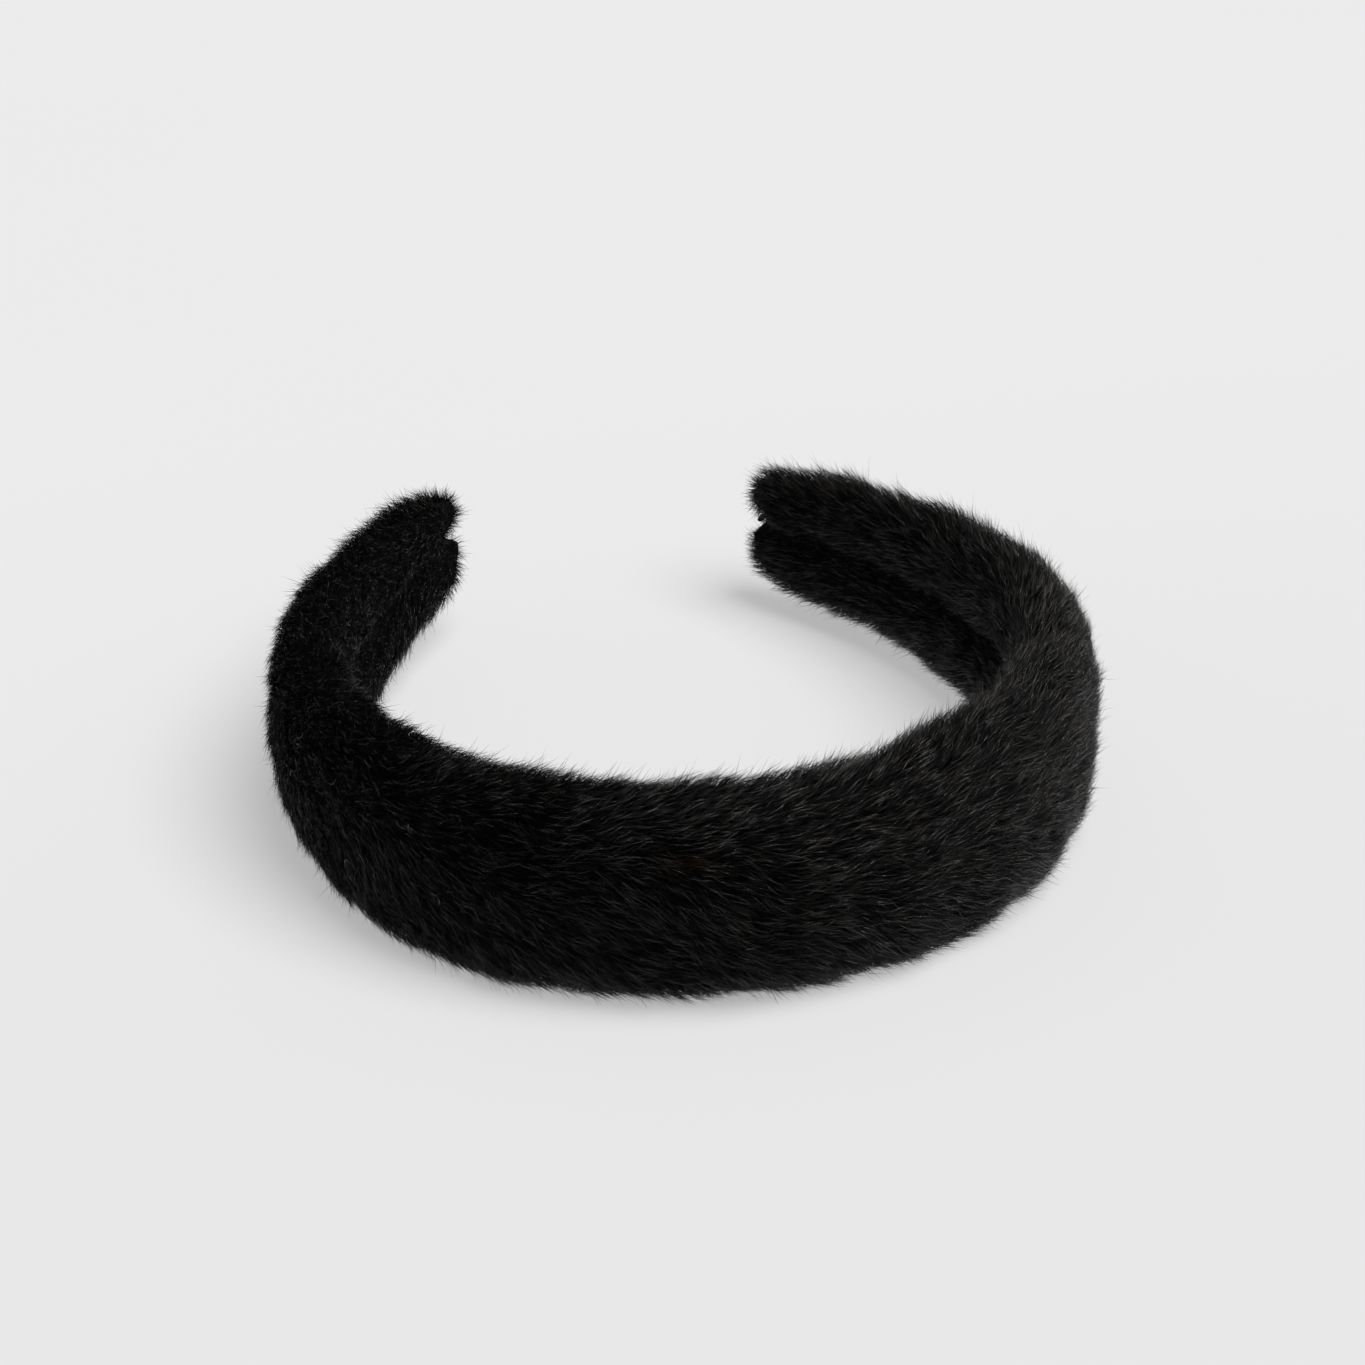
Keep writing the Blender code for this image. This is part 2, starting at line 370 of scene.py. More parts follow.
def add_bump(nodes, links, shader, height, strength, distance):
    bump = nodes.new("ShaderNodeBump")
    bump.inputs["Strength"].default_value = strength
    bump.inputs["Distance"].default_value = distance
    links.new(height, bump.inputs["Height"])
    links.new(bump.outputs["Normal"], shader.inputs["Normal"])


# Stops of each colour ramp: the value, and the colour there. The pile's tones run from black to
# the paler glossy fibres, whose paleness is painted sheen, then a faded reddish brown, a worn
# brown, and the pale lint.
PILE_STOPS = (
    (0.0, (0.0010, 0.0009, 0.0009)),
    (0.50, (0.0026, 0.0023, 0.0020)),
    (0.92, (0.0480, 0.0430, 0.0390)),
    (0.95, (0.060, 0.020, 0.010)),
    (0.98, (0.060, 0.046, 0.036)),
    (1.0, (0.24, 0.215, 0.185)),
)
PILE_ROOT_SHADE = (0.35, 0.35, 0.35)
WORN_STOPS = ((0.35, (0.86, 0.85, 0.84)), (0.7, (1.16, 1.13, 1.10)))
NAP_STOPS = ((0.3, (0.0006, 0.0006, 0.0006)), (0.75, (0.0022, 0.0020, 0.0019)))
FOAM_STOPS = ((0.1, (0.60, 0.55, 0.44)), (0.6, (0.86, 0.83, 0.74)))
CORE_STOPS = ((0.3, (0.018, 0.018, 0.019)), (0.7, (0.030, 0.030, 0.032)))
THREAD_STOPS = ((0.2, (0.002, 0.002, 0.002)), (0.8, (0.009, 0.0085, 0.008)))
FLOOR_STOPS = ((0.3, (0.495, 0.495, 0.496)), (0.7, (0.505, 0.505, 0.506)))
GLOW_STOPS = ((0.0, (0.93, 0.93, 0.932)), (1.0, (1, 1, 1)))


def fibre_look(name, group, roughness, gloss):
    """Pile fibres, darker towards the root and a little uneven from place to place."""
    look, nodes, links, shader = new_material(name)
    tone = nodes.new("ShaderNodeAttribute")
    tone.attribute_name = "tone"
    reach = nodes.new("ShaderNodeAttribute")
    reach.attribute_name = "reach"
    body = colour_ramp(nodes, links, tone.outputs["Fac"], PILE_STOPS)
    deep = mixed(nodes, links, "MULTIPLY", 1.0, body, PILE_ROOT_SHADE)
    shaded = mixed(nodes, links, "MIX", reach.outputs["Fac"], deep, body)
    masks = mottle(nodes, group, patch_scale=160.0, speckle_scale=900.0)
    worn = colour_ramp(nodes, links, masks.outputs["Patches"], WORN_STOPS)
    coat = mixed(nodes, links, "MULTIPLY", 1.0, shaded, worn)
    links.new(coat, shader.inputs["Base Color"])
    shader.inputs["Roughness"].default_value = roughness
    shader.inputs["Specular IOR Level"].default_value = gloss
    return look


def pelt_look(group):
    """The knitted backing seen between the fibres, near black with a matted nap."""
    look, nodes, links, shader = new_material("black_pelt")
    masks = mottle(nodes, group, patch_scale=220.0, speckle_scale=2600.0)
    nap = colour_ramp(nodes, links, masks.outputs["Speckle"], NAP_STOPS)
    links.new(nap, shader.inputs["Base Color"])
    add_bump(nodes, links, shader, masks.outputs["Speckle"], strength=0.7, distance=0.0004)
    shader.inputs["Roughness"].default_value = 0.95
    shader.inputs["Specular IOR Level"].default_value = 0.15
    return look


def foam_look():
    """Open-cell foam: pale, with small round cells that are darker and yellower where the bump
    sinks them.
    """
    look, nodes, links, shader = new_material("pad_foam")
    place = nodes.new("ShaderNodeTexCoord")
    cells = nodes.new("ShaderNodeTexVoronoi")
    cells.inputs["Scale"].default_value = 1400.0
    links.new(place.outputs["Object"], cells.inputs["Vector"])
    tint = colour_ramp(nodes, links, cells.outputs["Distance"], FOAM_STOPS)
    links.new(tint, shader.inputs["Base Color"])
    add_bump(nodes, links, shader, cells.outputs["Distance"], strength=0.6, distance=0.0003)
    shader.inputs["Roughness"].default_value = 0.9
    return look


def core_look(group):
    """Moulded black plastic with a fine satin grain."""
    look, nodes, links, shader = new_material("core_plastic")
    masks = mottle(nodes, group, patch_scale=90.0, speckle_scale=3500.0)
    tint = colour_ramp(nodes, links, masks.outputs["Patches"], CORE_STOPS)
    links.new(tint, shader.inputs["Base Color"])
    add_bump(nodes, links, shader, masks.outputs["Speckle"], strength=0.25, distance=0.0001)
    shader.inputs["Roughness"].default_value = 0.38
    return look


def thread_look():
    """Black sewing thread with the bands of its twist."""
    look, nodes, links, shader = new_material("sewing_thread")
    place = nodes.new("ShaderNodeTexCoord")
    twist = nodes.new("ShaderNodeTexWave")
    twist.inputs["Scale"].default_value = 900.0
    twist.inputs["Distortion"].default_value = 1.5
    links.new(place.outputs["Object"], twist.inputs["Vector"])
    tint = colour_ramp(nodes, links, twist.outputs["Fac"], THREAD_STOPS)
    links.new(tint, shader.inputs["Base Color"])
    shader.inputs["Roughness"].default_value = 0.7
    shader.inputs["Specular IOR Level"].default_value = 0.2
    return look


# ---------------------------------------------------------------- pelt

# Where the pelt ends on each arm, how its ends close, and the soft lumps all over it.
PELT_HALF_RINGS = 89
PELT_AROUND = 56
PELT_ENDS = {-1: HALF_LENGTH - TIP_PILE + 0.0034, 1: HALF_LENGTH - TIP_PILE + 0.0006}
CAP_SHARES = (0.8, 0.52, 0.22, 0.03)
CAP_BULGE = 0.0009
PELT_LUMPS = 0.00032
LUMP_LENGTH = 0.013
# Length, seed and share of the broad lumps and of the finer ones.
LUMPS = ((LUMP_LENGTH, 3, 0.7), (LUMP_LENGTH / 2.4, 4, 0.3))
# The crease over the closing seam, and what counts as the band's inner face.
CREASE_DEPTH = 0.0020
CREASE_HALF_WIDTH = 0.0034
INNER_FACE = (0.5, 0.9)
SEAM_HOLD = 0.0012
SEWN_FACE = 0.5
SEWN_END = 0.9
# The notch in each tip.
NOTCH_DEPTH = 0.0052
NOTCH_HEIGHT = 0.0036
NOTCH_LENGTH = 0.010
NOTCH_RISE = {-1: 0.0023, 1: 0.0014}
# Where the padding stands out or sinks in.
SWELLS = (
    # distance, height, reach along, reach across, how far out
    (0.034, 0.019, 0.014, 0.009, 0.0021),
    (0.058, 0.019, 0.016, 0.009, 0.0008),
    (-0.020, 0.019, 0.018, 0.008, 0.0003),
    (-0.088, -0.010, 0.024, 0.012, -0.0018),
    (-0.010, -0.019, 0.034, 0.007, -0.0006),
    (0.054, -0.012, 0.022, 0.010, 0.0005),
    (0.076, 0.002, 0.022, 0.012, -0.0004),
    (0.133, -0.017, 0.012, 0.008, -0.0010),
    (0.158, -0.014, 0.010, 0.008, 0.0008),
    (0.176, -0.010, 0.006, 0.007, -0.0011),
    (0.150, 0.015, 0.026, 0.008, -0.0006),
    (-0.120, -0.016, 0.026, 0.009, 0.0010),
)
# The cloth that the pelt puffs up as, and how far a point may move.
PELT_MASS = 0.02
PELT_PRESSURE = 5.0
PELT_STRETCH_STIFFNESS = 5
PELT_SHEAR_STIFFNESS = 3
PELT_BENDING_STIFFNESS = 0.1
CLOTH_QUALITY = 6
CLOTH_FRAMES = 20
PUFF_LIMIT = 0.0012
LINING_RINGS = 60


def pelt_rings():
    """The pelt's outer surface as rings x points x 3, and each ring's distance."""
    left = -np.linspace(PELT_ENDS[-1], 0, PELT_HALF_RINGS)
    right = np.linspace(0, PELT_ENDS[1], PELT_HALF_RINGS)[1:]
    body = np.concatenate([left, right])
    end = np.where(body < 0, PELT_ENDS[-1], PELT_ENDS[1])[:, None]
    rings = swept(pelt_section, body, PELT_AROUND, end)
    caps = {}
    for side, ring in ((-1, rings[0]), (1, rings[-1])):
        middle = ring.mean(0)
        _, _, along = centre_line(side * PELT_ENDS[side])
        bulge = side * along * CAP_BULGE
        caps[side] = np.array(
            [
                middle + (ring - middle) * share + bulge * math.sqrt(1 - share * share)
                for share in CAP_SHARES
            ]
        )
    rings = np.concatenate([caps[-1][::-1], rings, caps[1]])
    more = np.ones(len(CAP_SHARES))
    return rings, np.concatenate([-more * PELT_ENDS[-1], body, more * PELT_ENDS[1]])


def ring_frames(rings):
    """Unit directions at each point: out of the surface, along the band and around the section."""
    along = np.gradient(rings, axis=0)
    around = (np.roll(rings, -1, 1) - np.roll(rings, 1, 1)) / 2
    out = unit(np.cross(along, around))
    middle = rings.mean(1, keepdims=True)
    flip = np.sign(((rings - middle) * out).sum(-1).mean(1))[:, None, None]
    out = out * np.where(flip == 0, 1, flip)
    along = unit(along - (along * out).sum(-1, keepdims=True) * out)
    return out, along, np.cross(out, along)


def swell(points, distance, out):
    """How far the pelt stands out from its plain section, for the padding's own unevenness."""
    centre, outward, _ = centre_line(distance)
    height = points[..., 2] - centre[:, None, 2]
    facing = np.clip((out * outward[:, None, :]).sum(-1) + 1, 0, 1)
    total = np.zeros(height.shape)
    for at, level, reach, tall, amount in SWELLS:
        near = ((distance[:, None] - at) / reach) ** 2 + ((height - level) / tall) ** 2
        total += amount * np.exp(-near) * facing
    return total


def shaped_pelt(look):
    """The pelt puffed over its padding, with soft lumps, the closing seam and the notched ends."""
    rings, distance = pelt_rings()
    out, _, _ = ring_frames(rings)
    rings = rings + out * swell(rings, distance, out)[..., None]
    centre, outward, along = centre_line(distance)
    height = rings[..., 2] - centre[:, None, 2]
    inner = smooth_step(*INNER_FACE, -((out * outward[:, None, :]).sum(-1)))
    crease = np.exp(-((height / CREASE_HALF_WIDTH) ** 2)) * inner
    rings = rings - out * (crease * CREASE_DEPTH)[..., None]
    side = np.sign(distance)[:, None]
    end = np.where(distance < 0, PELT_ENDS[-1], PELT_ENDS[1])
    reach = smooth_step(0, 1, 1 - (end - np.abs(distance)) / NOTCH_LENGTH)[:, None]
    rise = np.where(distance < 0, NOTCH_RISE[-1], NOTCH_RISE[1])[:, None]
    notch = np.clip(1 - np.abs(height - rise) / NOTCH_HEIGHT, 0, 1) * reach
    rings = rings - along[:, None, :] * (side * notch * NOTCH_DEPTH)[..., None]
    sewn = (np.abs(height) < SEAM_HOLD) & (inner > SEWN_FACE) | (reach > SEWN_END)
    rings = puffed(rings, sewn, look)
    out, _, _ = ring_frames(rings)
    lumps = sum(waves(rings, length, seed) * share for length, seed, share in LUMPS)
    return rings + out * (lumps * PELT_LUMPS)[..., None], distance


def puffed(rings, sewn, look):
    """The pelt as cloth under pressure from its padding, held still where it is sewn down."""
    rest = rings.reshape(-1, 3)
    faces = capped_tube_faces(*rings.shape[:2])
    cloth = new_piece("pelt_cloth", rest, faces, look)
    face_outwards(cloth)
    seam = cloth.vertex_groups.new(name="sewn")
    seam.add([int(point) for point in np.flatnonzero(sewn.ravel())], 1.0, "ADD")
    swelling = cloth.modifiers.new("swelling", "CLOTH")
    fabric = swelling.settings
    fabric.quality = CLOTH_QUALITY
    fabric.mass = PELT_MASS
    fabric.tension_stiffness = PELT_STRETCH_STIFFNESS
    fabric.compression_stiffness = PELT_STRETCH_STIFFNESS
    fabric.shear_stiffness = PELT_SHEAR_STIFFNESS
    fabric.bending_stiffness = PELT_BENDING_STIFFNESS
    fabric.use_pressure = True
    fabric.uniform_pressure_force = PELT_PRESSURE
    fabric.effector_weights.gravity = 0
    fabric.vertex_group_mass = "sewn"
    swelling.point_cache.frame_start = 1
    swelling.point_cache.frame_end = CLOTH_FRAMES
    for step in range(1, CLOTH_FRAMES + 1):
        bpy.context.scene.frame_set(step)
    seen = cloth.evaluated_get(bpy.context.evaluated_depsgraph_get())
    settled = np.empty(rest.size, np.float32)
    seen.data.vertices.foreach_get("co", settled)
    move = settled.reshape(-1, 3).astype(float) - rest
    length = np.linalg.norm(move, axis=1, keepdims=True)
    move *= np.minimum(1, PUFF_LIMIT / np.maximum(length, 1e-9))
    bpy.context.scene.frame_set(1)
    bpy.data.objects.remove(cloth)
    return (rest + move).reshape(rings.shape)


def pelt_half(name, side, rings, distance, look):
    """One half of the hollow pelt: its outer face from the crown to the tip, and its lining."""
    middle = int(np.argmin(np.abs(distance)))
    outer = rings[middle:] if side > 0 else rings[: middle + 1][::-1]
    lining = swept(cavity_section, side * np.linspace(CAVITY_END, 0, LINING_RINGS), PELT_AROUND)
    count = len(outer) + len(lining)
    around = PELT_AROUND
    shell = np.concatenate([outer, lining])
    faces = []
    for ring in range(count):
        # The outer face and the lining meet at the crown, and each is closed at the tip.
        if ring != len(outer) - 1:
            faces += ring_quads(ring * around, (ring + 1) % count * around, around)
    tip = (len(outer) - 1) * around
    blind = len(outer) * around
    faces.append(tuple(tip + step for step in range(around)))
    faces.append(tuple(blind + step for step in range(around))[::-1])
    piece = new_piece(name, shell.reshape(-1, 3), faces, look)
    face_outwards(piece)
    return piece


# ---------------------------------------------------------------- pile

GUARD_COUNT = 122_000
SHEEN_COUNT = 32_000
UNDER_COUNT = 56_000
STRANDS_A_PIECE = 19_600
GUARD_LENGTH = 0.0050
UNDER_LENGTH = 0.0026
GUARD_RADII = (0.000050, 0.000040)
SHEEN_RADII = (0.000064, 0.000052)
UNDER_RADIUS = 0.000062
TUFT_LENGTH = 0.0030
TUFT_WIDTH = 0.0015
TUFT_PULL = 0.32
TUFT_SEED = 11
TUFT_TABLE = 64
PARTING_HALF_WIDTH = 0.0026
ROOT_DEPTH = 0.0003
# How far the fibres fan out from the middle line, wander, follow their tuft and vary, in radians.
GUARD_FAN = 0.46
GUARD_SWIRL = 0.15
UNDER_FAN = 0.5
UNDER_SWIRL = 0.25
TUFT_TURN = 0.10
STRAY_TURN = 0.15
END_TURN = 0.8
GUARD_BEND = 0.17
# Degrees that a fibre stands off the surface: mean and spread at its root, past its bend, and in
# the underfur, and what is added at the band's edges, within a tuft and on the blunt ends.
GUARD_START = (36, 7)
GUARD_FINISH = (9, 7)
UNDER_LIFT = (42, 12)
EDGE_START = 10
EDGE_FINISH = 20
TUFT_LIFT = 3
END_LIFT = 26
STRAY_LIFT = (10, 45)
# How fibres are drawn to the middle of their tuft: less at the edges, and mostly past the bend.
EDGE_PULL_LOSS = 0.5
KNEE_PULL = 0.4
TIP_PULL = 0.6
# Spread and limits of a fibre's length, as shares of the mean, and what a tuft adds.
GUARD_LENGTH_SPREAD = 0.16
GUARD_LENGTH_LIMITS = (0.55, 1.5)
UNDER_LENGTH_SPREAD = 0.2
UNDER_LENGTH_LIMITS = (0.5, 1.5)
TUFT_LENGTH_SHARE = 0.08
# Shares: of the length before the bend, of the strays, and what shortens a fibre.
BEND_SHARE = 0.42
STRAY_SHARE = 0.03
EDGE_STRAY_SHARE = 0.26
STRAY_LENGTHS = (0.75, 1.25)
INNER_TRIM = 0.18
PARTING_TRIM = 0.40
END_TRIM = 0.35
# Tones, which the colour ramp of the pile turns into colours.
GUARD_TONE = (0.26, 0.14)
UNDER_TONE = (0.22, 0.12)
TUFT_TONE = 0.08
DARK_LIMIT = 0.6
# Tones of the paler guard fibres, which are painted sheen.
PAINTED_SHEEN_GUARD_TONES = (0.78, 0.92)
# Tones of the sheen fibres, pale as painted sheen.
PAINTED_SHEEN_TONES = (0.76, 0.92)
FADED_FROM = 0.93
RED_TONE = 0.95
BROWN_TONE = 0.98
RED_SHARE = 0.006
SPOT_SHARE = 0.60
BROWN_SHARE = 0.002
# How far the glossiest fibres are raised at the root, the bend and the tip.
SHEEN_RISE = (0.0, 0.00025, 0.0003)
# A small patch of fibres on the crown has faded to a reddish brown.
SPOT_AT = -0.016
SPOT_HEIGHT = 0.0108
SPOT_LENGTH = 0.0030
SPOT_WIDTH = 0.0012


def scattered_roots(rings, distance, count):
    """Seeded roots spread evenly over the pelt, with the surface's directions at each."""
    out, along, around = ring_frames(rings)
    following = np.roll(rings, -1, 1)
    across = following[:-1] - rings[:-1]
    onward = rings[1:] - rings[:-1]
    area = np.linalg.norm(np.cross(across, onward), axis=-1)
    share = (area / area.sum()).ravel()
    cell = RNG.choice(share.size, count, p=share)
    ring, step = np.divmod(cell, PELT_AROUND)
    a = RNG.random(count)[:, None]
    b = RNG.random(count)[:, None]
    after = (step + 1) % PELT_AROUND

    def within(values):
        low = values[ring, step] * (1 - b) + values[ring, after] * b
        high = values[ring + 1, step] * (1 - b) + values[ring + 1, after] * b
        return low * (1 - a) + high * a

    walked = np.cumsum(np.linalg.norm(following - rings, axis=-1), 1)
    girth = np.concatenate([np.zeros((len(rings), 1)), walked], 1)
    return {
        "point": within(rings),
        "out": unit(within(out)),
        "along": unit(within(along)),
        "around": unit(within(around)),
        "distance": mix(distance[ring], distance[ring + 1], a[:, 0]),
        "girth": girth[ring, step] * (1 - b[:, 0]) + girth[ring, step + 1] * b[:, 0],
    }


def tufts(roots):
    """The way from each root to the middle of its tuft, and three numbers that its tuft shares."""
    size = np.array([TUFT_LENGTH, TUFT_WIDTH])
    place = np.stack([roots["distance"], roots["girth"]], -1) / size
    cell = np.floor(place).astype(int)
    table = np.random.default_rng(TUFT_SEED).uniform(0, 1, (TUFT_TABLE, TUFT_TABLE, 5))
    best = np.full(len(place), np.inf)
    offset = np.zeros_like(place)
    shared = np.zeros((len(place), 3))
    for i in (-1, 0, 1):
        for j in (-1, 0, 1):
            near = cell + (i, j)
            values = table[near[:, 0] % TUFT_TABLE, near[:, 1] % TUFT_TABLE]
            gap = near + values[:, :2] - place
            far = (gap**2).sum(-1)
            closer = far < best
            best = np.where(closer, far, best)
            offset = np.where(closer[:, None], gap, offset)
            shared = np.where(closer[:, None], values[:, 2:], shared)
    return offset * size, shared * 2 - 1


# Places where the pile turns away from the band's direction.
COWLICKS = (
    # distance, height, reach along, reach across, turn in radians
    (-0.014, 0.004, 0.011, 0.008, -0.60),
    (-0.006, 0.014, 0.010, 0.005, 0.25),
    (-0.034, -0.002, 0.014, 0.012, -0.35),
    (-0.058, 0.003, 0.014, 0.012, -0.40),
    (0.018, -0.010, 0.010, 0.007, -0.20),
    (0.030, 0.009, 0.016, 0.008, 0.18),
)
# The pile on top of the right shoulder is turned as well.
SHOULDER_AT = 0.080
SHOULDER_REACH = 0.035
SHOULDER_TURN = 0.45
# The pile wanders in long waves and in shorter, weaker ones: length and seed of each.
LONG_WANDER = (0.020, 21)
SHORT_WANDER = (0.0065, 22)
SHORT_WANDER_SHARE = 0.8
FAN_POWER = 0.5
TIP_LENGTH = 0.005


def height_on_band(roots):
    centre, _, _ = centre_line(roots["distance"])
    return roots["point"][:, 2] - centre[:, 2]


def at_tips(roots):
    """1 for roots on the blunt ends of the band, falling to 0 a few millimetres along."""
    reach = np.abs(roots["distance"])
    return smooth_step(HALF_LENGTH - TIP_LENGTH, HALF_LENGTH - TIP_PILE, reach)


def combed(roots, fan, swirl, shared):
    """The way each fibre lies along the surface: the turn from the band's direction, in radians."""
    height = height_on_band(roots)
    outer = roots["around"][:, 2]
    half_width, _ = cavity_size(roots["distance"])
    level = height / (half_width + COVER_EDGE_WALL)
    turn = fan * level * np.abs(level) ** FAN_POWER * outer
    for distance, middle, reach, tall, angle in COWLICKS:
        near = ((roots["distance"] - distance) / reach) ** 2 + ((height - middle) / tall) ** 2
        turn = turn + angle * np.exp(-near) * np.clip(outer, 0, 1)
    shoulder = np.exp(-(((roots["distance"] - SHOULDER_AT) / SHOULDER_REACH) ** 2))
    turn = turn - SHOULDER_TURN * shoulder * np.clip(roots["out"][:, 2], 0, 1)
    turn = turn + swirl * waves(roots["point"], *LONG_WANDER)
    turn = turn + SHORT_WANDER_SHARE * swirl * waves(roots["point"], *SHORT_WANDER)
    return turn + TUFT_TURN * shared[:, 0] + RNG.normal(0, STRAY_TURN, len(height))


def lean(roots, turn, lift):
    """Directions that lie turned on the surface and stand off it by the lift, both in radians."""
    flat = roots["along"] * np.cos(turn)[:, None] + roots["around"] * np.sin(turn)[:, None]
    return flat * np.cos(lift)[:, None] + roots["out"] * np.sin(lift)[:, None]


# The share of paler fibres, and how painted shade and painted light change it: place, reach and
# amount.
PAINTED_SHEEN_GUARD_SHARE = 0.125
PAINTED_SHADE_LEFT_FRONT = (-0.066, 0.030, -0.065)
PAINTED_LIGHT_SHOULDER = (0.098, 0.022, 0.08)
PAINTED_LIGHT_INSIDE = (0.085, 0.030, 0.24)


def painted_sheen_light_and_shade_share(roots, inner):
    """How much of the pile is paler: least on the left front as painted shade, more on the right
    shoulder and most inside the right arm as painted light.
    """
    share = PAINTED_SHEEN_GUARD_SHARE
    for place, reach, amount in (PAINTED_SHADE_LEFT_FRONT, PAINTED_LIGHT_SHOULDER):
        share = share + amount * np.exp(-(((roots["distance"] - place) / reach) ** 2))
    # Painted light inside the right arm.
    place, reach, amount = PAINTED_LIGHT_INSIDE
    return share + amount * np.clip((roots["distance"] - place) / reach, 0, 1) * inner


def guard_tones(roots, shared, inner):
    """Each long fibre's tone: mostly black, with some paler ones as painted sheen, and worn and
    faded ones.
    """
    count = len(inner)
    tone = np.clip(RNG.normal(*GUARD_TONE, count) + TUFT_TONE * shared[:, 2], 0, DARK_LIMIT)
    # The paler fibres are painted sheen.
    pale = RNG.random(count) < painted_sheen_light_and_shade_share(roots, inner)
    tone = np.where(pale, RNG.uniform(*PAINTED_SHEEN_GUARD_TONES, count), tone)
    odd = RNG.random(count)
    spot = np.exp(
        -(((roots["distance"] - SPOT_AT) / SPOT_LENGTH) ** 2)
        - ((height_on_band(roots) - SPOT_HEIGHT) / SPOT_WIDTH) ** 2
    )
    tone = np.where(odd < RED_SHARE + SPOT_SHARE * spot * (1 - inner), RED_TONE, tone)
    return np.where(odd < BROWN_SHARE, BROWN_TONE, tone)


def guard_paths(roots):
    """Root, bend and tip of each long fibre, and its tone."""
    count = len(roots["distance"])
    pull, shared = tufts(roots)
    ending = at_tips(roots)
    turn = combed(roots, GUARD_FAN, GUARD_SWIRL, shared) + RNG.normal(0, END_TURN, count) * ending
    edge = 1 - np.abs(roots["around"][:, 2])
    in_tuft = TUFT_LIFT * shared[:, 1]
    start = np.radians(RNG.normal(*GUARD_START, count) + EDGE_START * edge + in_tuft)
    finish = RNG.normal(*GUARD_FINISH, count) + EDGE_FINISH * edge + in_tuft
    finish = np.radians(finish + END_LIFT * ending)
    uneven = RNG.normal(1, GUARD_LENGTH_SPREAD, count)
    length = GUARD_LENGTH * np.clip(uneven, *GUARD_LENGTH_LIMITS)
    length = length * (1 + TUFT_LENGTH_SHARE * shared[:, 1])
    inner = np.clip(-roots["around"][:, 2], 0, 1)
    parting = np.exp(-((height_on_band(roots) / PARTING_HALF_WIDTH) ** 2)) * inner
    length = length * (1 - INNER_TRIM * inner - PARTING_TRIM * parting) * (1 - END_TRIM * ending)
    stray = RNG.random(count) < STRAY_SHARE + EDGE_STRAY_SHARE * edge
    finish = np.where(stray, finish + np.radians(RNG.uniform(*STRAY_LIFT, count)), finish)
    length = np.where(stray, length * RNG.uniform(*STRAY_LENGTHS, count), length)
    bend = RNG.normal(0, GUARD_BEND, count)
    pull = pull * (1 - EDGE_PULL_LOSS * edge)[:, None]
    pulled = (roots["along"] * pull[:, :1] + roots["around"] * pull[:, 1:]) * TUFT_PULL
    base = roots["point"] - roots["out"] * ROOT_DEPTH
    knee = base + lean(roots, turn, start) * (length * BEND_SHARE)[:, None] + pulled * KNEE_PULL
    tip = knee + lean(roots, turn + bend, finish) * (length * (1 - BEND_SHARE))[:, None]
    paths = np.stack([base, knee, tip + pulled * TIP_PULL], 1)
    return paths, guard_tones(roots, shared, inner)


def sheen_paths(roots):
    """The glossiest fibres, which lie on top of the others; their pale tones are painted sheen."""
    paths, tone = guard_paths(roots)
    raised = roots["out"][:, None, :] * np.array(SHEEN_RISE)[None, :, None]
    painted_sheen_tone = RNG.uniform(*PAINTED_SHEEN_TONES, len(tone))
    return paths + raised, np.where(tone < FADED_FROM, painted_sheen_tone, tone)


def under_paths(roots):
    """Root and tip of each short fibre, and its tone."""
    count = len(roots["distance"])
    _, shared = tufts(roots)
    turn = combed(roots, UNDER_FAN, UNDER_SWIRL, shared)
    lift = np.radians(RNG.normal(*UNDER_LIFT, count))
    uneven = RNG.normal(1, UNDER_LENGTH_SPREAD, count)
    length = UNDER_LENGTH * np.clip(uneven, *UNDER_LENGTH_LIMITS)
    base = roots["point"] - roots["out"] * ROOT_DEPTH
    tip = base + lean(roots, turn, lift) * length[:, None]
    return np.stack([base, tip], 1), np.clip(RNG.normal(*UNDER_TONE, count), 0, DARK_LIMIT)


